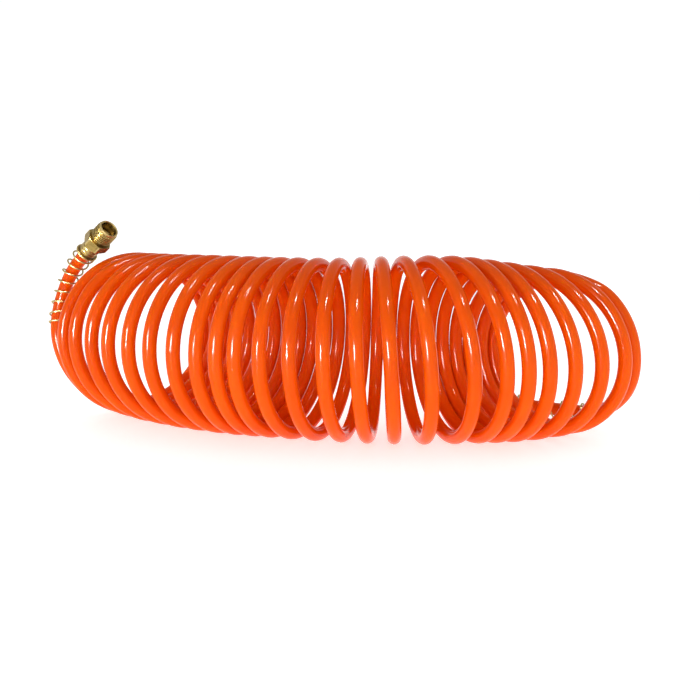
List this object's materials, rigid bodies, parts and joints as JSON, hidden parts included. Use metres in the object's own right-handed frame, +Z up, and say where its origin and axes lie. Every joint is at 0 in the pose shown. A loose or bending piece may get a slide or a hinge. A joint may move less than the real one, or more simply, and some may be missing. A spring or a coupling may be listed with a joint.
{
  "type": "coiled air hose",
  "caption": "Coiled recoil air hose in orange plastic, lying bent on the ground, with a wire spring guard and a swivel male thread fitting at each end.",
  "frame": {"origin": "on the ground, at the centre of the footprint", "axes": "+Z up, +X along the coil towards the end whose fitting lies on the ground, -Y towards the outside of the coil's bend"},
  "size_m": [0.3561, 0.1484, 0.1239],
  "materials": {
    "hose": "gloss, slightly translucent orange",
    "guard_wire": "brass-plated spring wire",
    "ferrule": "rolled on, lightly tarnished",
    "stem": "turned",
    "seal": "moulded, greased",
    "washer": "moulded",
    "swivel": "turned, with a cut thread"
  },
  "bodies": {
    "hose": {"hose_coil": "hose", "left_hose_tail": "hose", "left_spring_guard": "guard_wire", "left_ferrule": "ferrule", "left_barbed_stem": "stem", "left_seal_ring": "seal", "left_thrust_washer": "washer", "right_hose_tail": "hose", "right_spring_guard": "guard_wire", "right_ferrule": "ferrule", "right_barbed_stem": "stem", "right_seal_ring": "seal", "right_thrust_washer": "washer"},
    "left_swivel": {"left_threaded_swivel": "swivel"},
    "right_swivel": {"right_threaded_swivel": "swivel"}
  },
  "joints": [
    {"name": "left_swivel_spin", "type": "hinge", "parent": "hose", "child": "left_swivel", "pos_m": [-0.14151, 0.02228, 0.11086], "axis": [0.6721, -0.4601, 0.5801], "continuous": true},
    {"name": "right_swivel_spin", "type": "hinge", "parent": "hose", "child": "right_swivel", "pos_m": [0.10303, 0.04023, 0.0086], "axis": [-0.8852, 0.4651, 0], "continuous": true}
  ]
}
